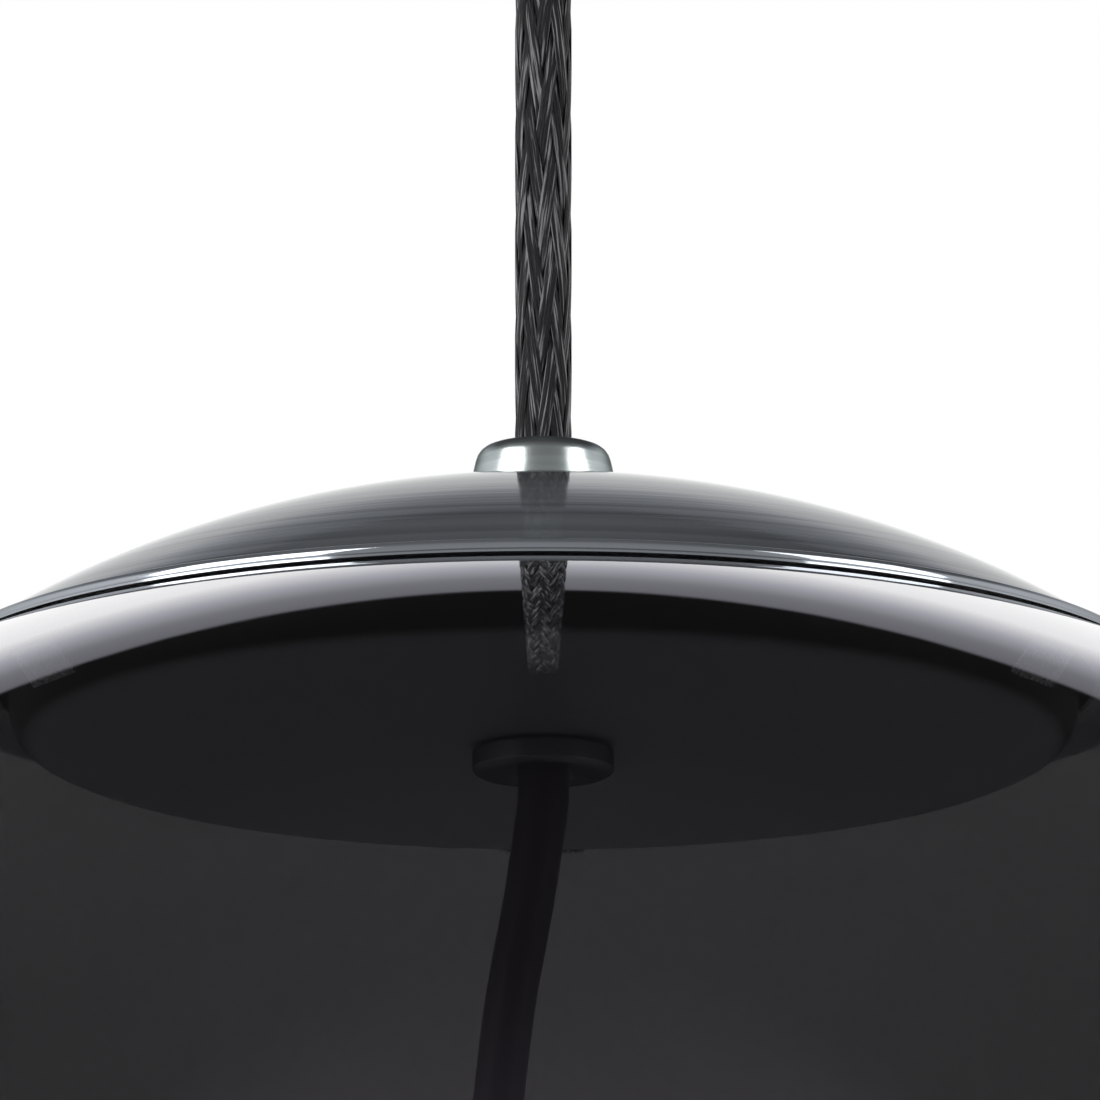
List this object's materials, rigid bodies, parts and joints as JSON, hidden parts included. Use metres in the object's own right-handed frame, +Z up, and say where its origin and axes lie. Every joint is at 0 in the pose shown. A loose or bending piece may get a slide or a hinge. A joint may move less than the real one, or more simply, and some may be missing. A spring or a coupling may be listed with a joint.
{
  "type": "pendant ceiling light",
  "caption": "Globe pendant ceiling light: smoked mirror glass sphere under a domed metal cap, hung on a braided cord from a round ceiling rose.",
  "frame": {"origin": "middle of the ceiling plate's top face, which lies on the ceiling", "axes": "+Z up along the cord, out of the light into the ceiling; the swing is about +Y"},
  "size_m": [0.4, 0.4, 0.5839],
  "materials": {
    "gunmetal": "polished gunmetal plating",
    "pan_black": "satin black enamel",
    "smoked_mirror": "smoked glass, mirror metallised inside, clear enough to see through",
    "braid": "charcoal textile braid with lighter flecks",
    "sheath": "satin black cable sheath",
    "zinc": "bright zinc plating",
    "spring_steel": "tempered brown-blue spring steel",
    "silicone": "matt black silicone",
    "nylon": "moulded natural nylon",
    "black_resin": "black phenolic resin",
    "porcelain": "glazed white porcelain",
    "brass": "bright brass",
    "lamp_clear": "clear blown glass",
    "phosphor": "yellow phosphor coating on a filament stick",
    "core_brown": "brown core insulation",
    "core_blue": "blue core insulation",
    "core_green": "green and yellow core insulation"
  },
  "bodies": {
    "ceiling": {"ceiling_plate": "zinc", "plate_earth_screw": "brass", "rose_cover": "gunmetal", "rose_side_screw_1": "zinc", "rose_side_screw_2": "zinc", "rose_bush": "gunmetal", "rose_bush_nut": "zinc", "cord_stop": "nylon", "cord_stop_screw": "zinc", "cord_tail": "braid", "core_live": "core_brown", "core_neutral": "core_blue", "core_earth": "core_green", "terminal_block": "nylon", "terminal_screw_1": "brass", "terminal_screw_2": "brass", "terminal_screw_3": "brass"},
    "pendant": {"pendant_cord": "braid", "top_collar": "gunmetal", "collar_grub_screw": "zinc", "cap_dome": "gunmetal", "nipple_tube": "zinc", "upper_washer": "zinc", "upper_nut": "zinc", "retainer_pan": "pan_black", "lower_washer": "zinc", "lower_nut": "zinc", "lower_collar": "gunmetal", "spring_clip_1": "spring_steel", "spring_clip_2": "spring_steel", "spring_clip_3": "spring_steel", "clip_rivet_1": "zinc", "clip_rivet_2": "zinc", "clip_rivet_3": "zinc"},
    "globe": {"globe": "smoked_mirror", "edge_gasket": "silicone"},
    "holder": {"inner_cord": "sheath", "holder_grip": "black_resin", "holder_grip_screw": "nylon", "holder_cap": "black_resin", "holder_body": "black_resin", "holder_insert": "porcelain", "holder_terminal_screw_1": "brass", "holder_terminal_screw_2": "brass", "holder_screw_shell": "brass", "holder_centre_contact": "brass"},
    "lamp": {"lamp_tip_contact": "brass", "lamp_insulator": "black_resin", "lamp_screw_cap": "zinc", "lamp_glass": "lamp_clear", "lamp_stem": "lamp_clear", "lamp_filament_1": "phosphor", "lamp_filament_2": "phosphor", "lamp_filament_3": "phosphor", "lamp_filament_4": "phosphor"}
  },
  "joints": [
    {"name": "pendant_swing", "type": "hinge", "parent": "ceiling", "child": "pendant", "pos_m": [0, 0, -0.0295], "axis": [0, 1, 0], "range_deg": [-15, 15]},
    {"name": "globe_drop", "type": "slide", "parent": "pendant", "child": "globe", "axis": [0, 0, -1], "range_m": [0, 0.3], "deforming": ["spring_clip_1", "spring_clip_2", "spring_clip_3"]},
    {"name": "holder_swing", "type": "hinge", "parent": "pendant", "child": "holder", "pos_m": [0, 0, -0.2078], "axis": [0, 1, 0], "range_deg": [-7, 7]},
    {"name": "lamp_unscrew", "type": "slide", "parent": "holder", "child": "lamp", "axis": [0, 0, -1], "range_m": [0, 0.028]}
  ]
}
